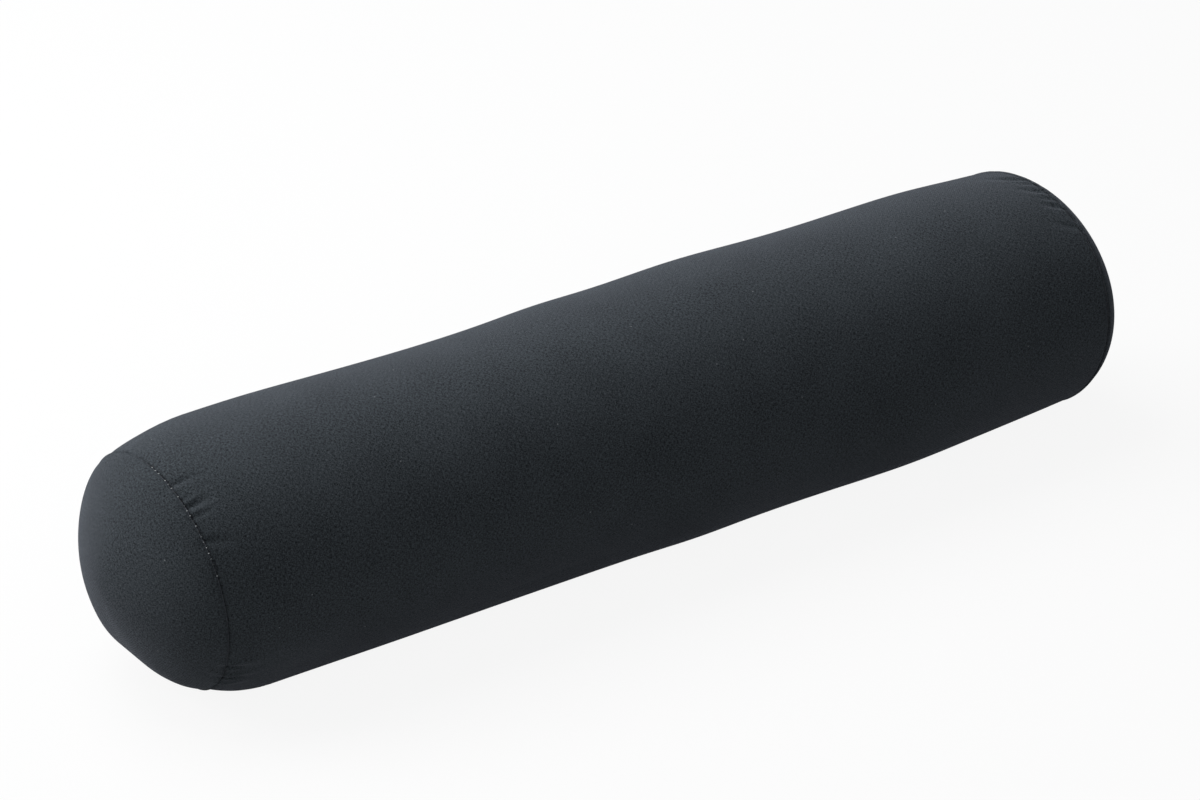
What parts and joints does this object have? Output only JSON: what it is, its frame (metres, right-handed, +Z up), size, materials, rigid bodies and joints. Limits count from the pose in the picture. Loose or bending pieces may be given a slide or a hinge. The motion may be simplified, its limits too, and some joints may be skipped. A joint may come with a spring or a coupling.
{
  "type": "yoga bolster",
  "caption": "Slim round yoga bolster: zipped charcoal cotton cover with domed end panels over an inner bag of loose filling.",
  "frame": {"origin": "centre of the bounding box at the floor, under the middle of the bolster where it rests on its flattened underside", "axes": "+X along the bolster's length, towards the end with the longer shoulder; +Z up; -Y is the pictured side and the zip is at the back, +Y"},
  "size_m": [0.6428, 0.1508, 0.1438],
  "materials": {
    "cover_cotton": "matte",
    "bag_calico": "matte",
    "loose_filling": "matte",
    "zip_tape": "matte",
    "zip_plastic": "satin",
    "zip_metal": "satin"
  },
  "bodies": {
    "bolster": {"cover_side_panel": "cover_cotton", "cover_end_panel_left": "cover_cotton", "cover_end_panel_right": "cover_cotton", "inner_bag_side_panel": "bag_calico", "inner_bag_end_left": "bag_calico", "inner_bag_end_right": "bag_calico", "filling": "loose_filling", "zip_tape_upper": "zip_tape", "zip_tape_lower": "zip_tape", "zip_teeth_upper": "zip_plastic", "zip_teeth_lower": "zip_plastic", "zip_bottom_stop": "zip_metal", "zip_top_stop_upper": "zip_metal", "zip_top_stop_lower": "zip_metal"},
    "slider": {"zip_slider_body": "zip_metal"},
    "pull_tab": {"zip_pull_tab": "zip_metal"}
  },
  "joints": [
    {"name": "zip_slide", "type": "slide", "parent": "bolster", "child": "slider", "axis": [1, 0, 0], "range_m": [-0.282, 0], "deforming": ["zip_teeth_upper", "zip_teeth_lower"]},
    {"name": "pull_tab_hinge", "type": "hinge", "parent": "slider", "child": "pull_tab", "pos_m": [0.14183, 0.07163, 0.0938], "axis": [0, 0.342, -0.9397], "range_deg": [0, 150]}
  ]
}
